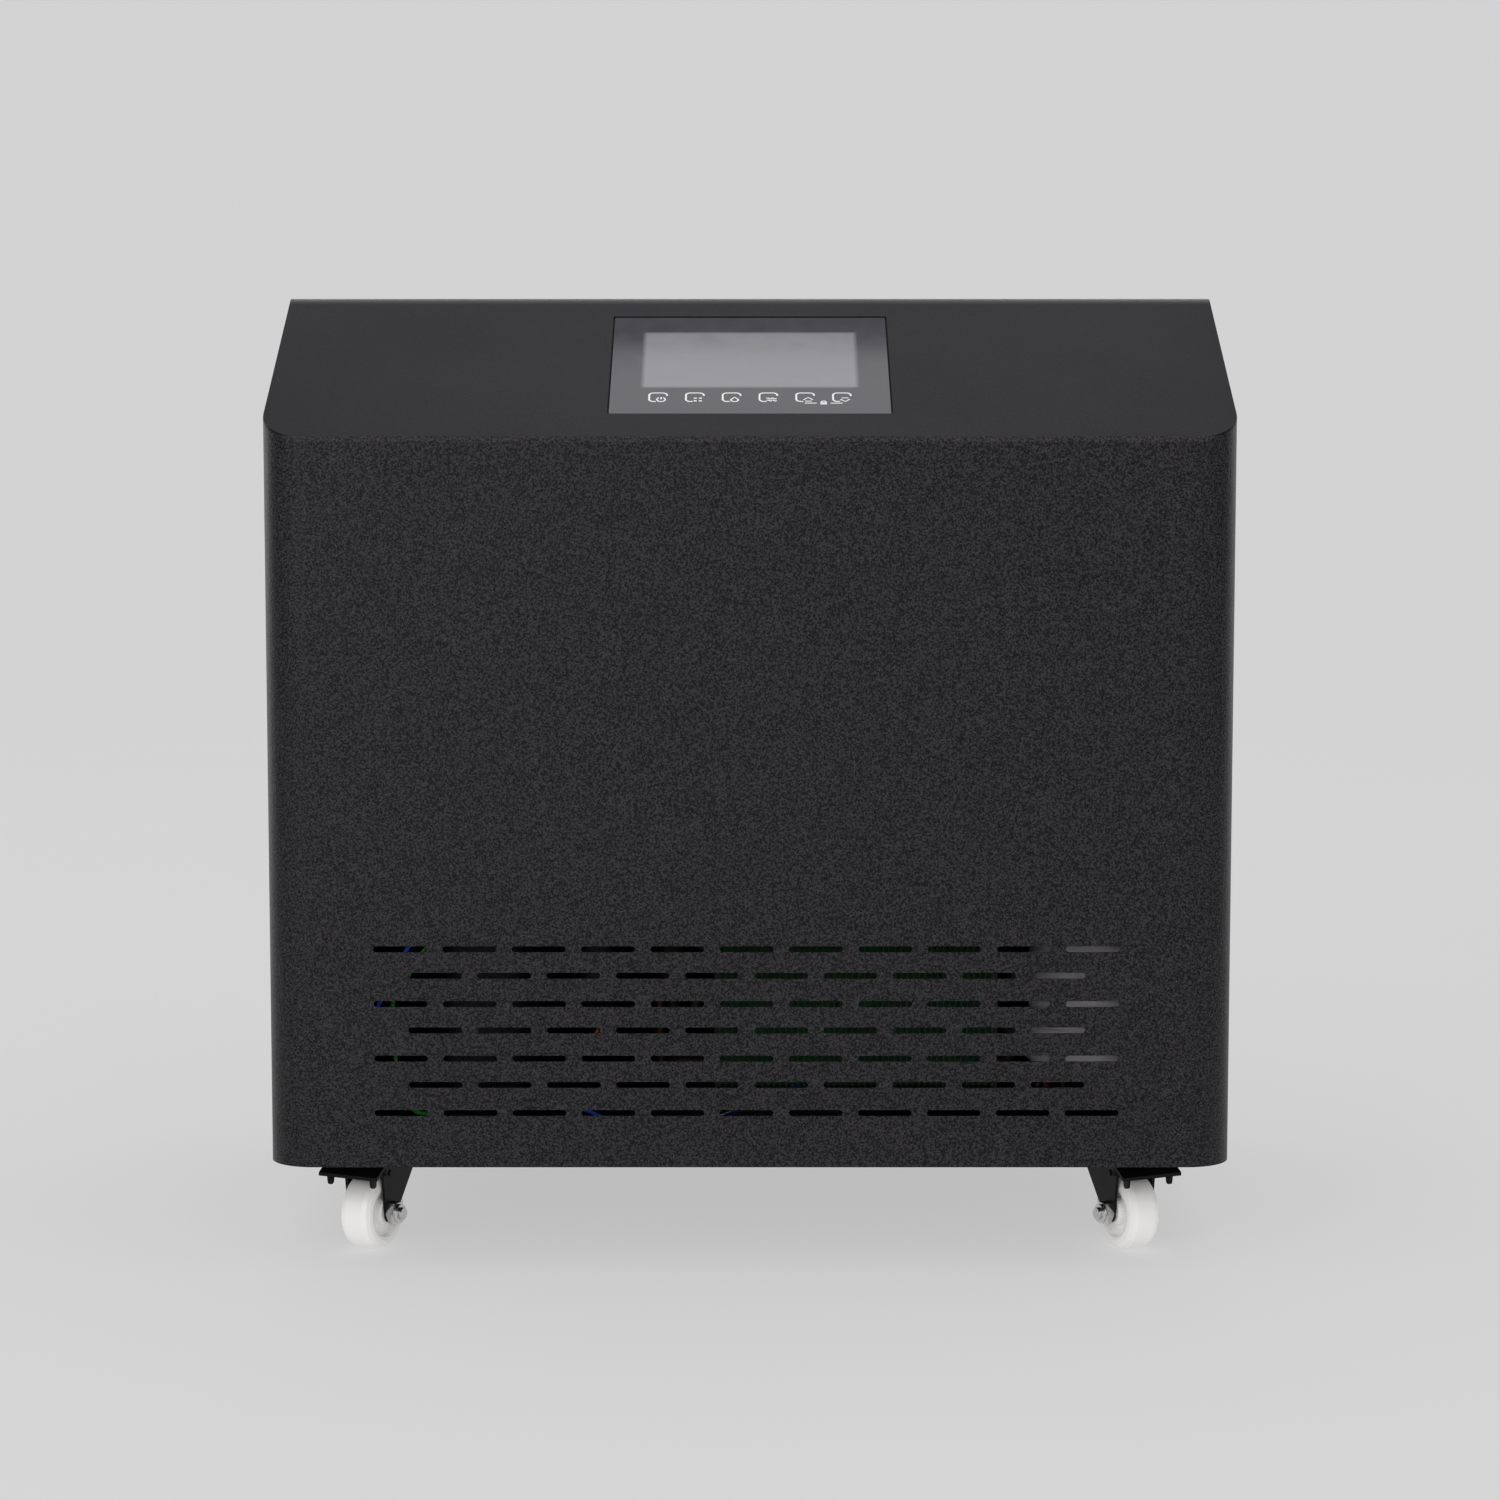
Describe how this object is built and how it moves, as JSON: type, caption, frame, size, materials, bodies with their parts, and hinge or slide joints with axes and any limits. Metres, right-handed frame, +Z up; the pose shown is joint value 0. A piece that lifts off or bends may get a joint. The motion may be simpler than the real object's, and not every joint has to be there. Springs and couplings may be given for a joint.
{
  "type": "portable water chiller",
  "caption": "Black sheet-metal cabinet on castors with a sloping touch controller and slotted front, holding a refrigeration circuit, fan, pump and water heat exchanger.",
  "frame": {"origin": "on the floor, under the centre of the object's outline", "axes": "+Z up; the vented front faces -Y and the water spigots face +Y; +X is to the right seen from the front"},
  "size_m": [0.63, 0.474, 0.6336],
  "materials": {
    "powder_coat": "coarse matt powder coat",
    "cover_coat": "fine matt powder coat",
    "galvanised": "galvanised",
    "black_screw": "black zinc",
    "panel_glass": "glossy, back-printed",
    "black_rubber": "matt",
    "lcd": "unlit display",
    "circuit_board": "solder mask",
    "black_plastic": "fine grain",
    "fin_coat": "dark green corrosion coat",
    "copper": "bright",
    "fan_plastic": "moulded",
    "steel": "ground",
    "black_steel": "black enamel",
    "compressor_paint": "satin enamel",
    "grey_pvc": "smooth",
    "titanium": "drawn tube",
    "pump_plastic": "glass-filled",
    "blue_insulation": "wire insulation",
    "green_insulation": "wire insulation",
    "black_insulation": "cable sheath",
    "castor_steel": "black enamel",
    "nylon": "smooth moulded",
    "zinc": "bright zinc"
  },
  "bodies": {
    "cabinet": {"front_wrap": "powder_coat", "top_cover": "cover_coat", "rear_panel": "powder_coat", "base_pan": "galvanised", "rear_screws": "black_screw", "display_glass": "panel_glass", "display_gasket": "black_rubber", "lcd_module": "lcd", "touch_board": "circuit_board", "control_tray": "black_plastic", "condenser_fins": "fin_coat", "condenser_end_plates": "galvanised", "condenser_bends": "copper", "fan_shroud": "galvanised", "fan_bracket": "galvanised", "fan_motor": "black_steel", "compressor": "compressor_paint", "compressor_grommets": "black_rubber", "terminal_cover": "black_plastic", "accumulator": "compressor_paint", "exchanger_shell": "grey_pvc", "exchanger_caps": "grey_pvc", "titanium_coil": "titanium", "exchanger_supports": "black_steel", "pump_motor": "pump_plastic", "pump_volute": "pump_plastic", "water_hoses": "black_rubber", "water_spigots": "black_plastic", "discharge_line": "copper", "liquid_line": "copper", "expansion_line": "copper", "suction_line": "copper", "filter_drier": "copper", "control_box": "galvanised", "control_board": "circuit_board", "blue_wire": "blue_insulation", "earth_wire": "green_insulation", "internal_leads": "black_insulation", "power_inlet": "black_plastic", "switch_frame": "black_plastic", "castor_plates": "castor_steel", "base_bolts": "zinc"},
    "fan": {"fan_blades": "fan_plastic", "fan_shaft": "steel"},
    "impeller": {"pump_impeller": "fan_plastic"},
    "rocker": {"switch_rocker": "black_plastic"},
    "front_left_swivel": {"front_left_fork": "castor_steel", "front_left_axle": "zinc"},
    "front_left_roller": {"front_left_wheel": "nylon"},
    "front_left_brake": {"front_left_pedal": "castor_steel"},
    "front_right_swivel": {"front_right_fork": "castor_steel", "front_right_axle": "zinc"},
    "front_right_roller": {"front_right_wheel": "nylon"},
    "front_right_brake": {"front_right_pedal": "castor_steel"},
    "rear_left_swivel": {"rear_left_fork": "castor_steel", "rear_left_axle": "zinc"},
    "rear_left_roller": {"rear_left_wheel": "nylon"},
    "rear_right_swivel": {"rear_right_fork": "castor_steel", "rear_right_axle": "zinc"},
    "rear_right_roller": {"rear_right_wheel": "nylon"}
  },
  "joints": [
    {"name": "front_left_swivel_turn", "type": "hinge", "parent": "cabinet", "child": "front_left_swivel", "pos_m": [-0.244, -0.149, 0.058], "axis": [0, 0, 1], "continuous": true},
    {"name": "front_left_wheel_roll", "type": "hinge", "parent": "front_left_swivel", "child": "front_left_roller", "pos_m": [-0.25354, -0.16882, 0.025], "axis": [-0.9011, 0.4337, 0], "continuous": true},
    {"name": "front_left_brake_press", "type": "hinge", "parent": "front_left_swivel", "child": "front_left_brake", "pos_m": [-0.25571, -0.17333, 0.053], "axis": [0.9011, -0.4337, 0], "range_deg": [0, 12]},
    {"name": "front_right_swivel_turn", "type": "hinge", "parent": "cabinet", "child": "front_right_swivel", "pos_m": [0.244, -0.149, 0.058], "axis": [0, 0, 1], "continuous": true},
    {"name": "front_right_wheel_roll", "type": "hinge", "parent": "front_right_swivel", "child": "front_right_roller", "pos_m": [0.25354, -0.16882, 0.025], "axis": [-0.9011, -0.4337, 0], "continuous": true},
    {"name": "front_right_brake_press", "type": "hinge", "parent": "front_right_swivel", "child": "front_right_brake", "pos_m": [0.25571, -0.17333, 0.053], "axis": [0.9011, 0.4337, 0], "range_deg": [0, 12]},
    {"name": "rear_left_swivel_turn", "type": "hinge", "parent": "cabinet", "child": "rear_left_swivel", "pos_m": [-0.244, 0.115, 0.058], "axis": [0, 0, 1], "continuous": true},
    {"name": "rear_left_wheel_roll", "type": "hinge", "parent": "rear_left_swivel", "child": "rear_left_roller", "pos_m": [-0.25433, 0.13442, 0.025], "axis": [0.8829, 0.4695, 0], "continuous": true},
    {"name": "rear_right_swivel_turn", "type": "hinge", "parent": "cabinet", "child": "rear_right_swivel", "pos_m": [0.244, 0.115, 0.058], "axis": [0, 0, 1], "continuous": true},
    {"name": "rear_right_wheel_roll", "type": "hinge", "parent": "rear_right_swivel", "child": "rear_right_roller", "pos_m": [0.25006, 0.13615, 0.025], "axis": [0.9613, -0.2756, 0], "continuous": true},
    {"name": "fan_spin", "type": "hinge", "parent": "cabinet", "child": "fan", "pos_m": [0.07, -0.103, 0.264], "axis": [0, 1, 0], "continuous": true},
    {"name": "impeller_spin", "type": "hinge", "parent": "cabinet", "child": "impeller", "pos_m": [0.12, 0.1, 0.131], "axis": [0, 1, 0], "continuous": true},
    {"name": "rocker_tip", "type": "hinge", "parent": "cabinet", "child": "rocker", "pos_m": [-0.225, 0.202, 0.244], "axis": [-1, 0, 0], "range_deg": [0, 18]}
  ]
}
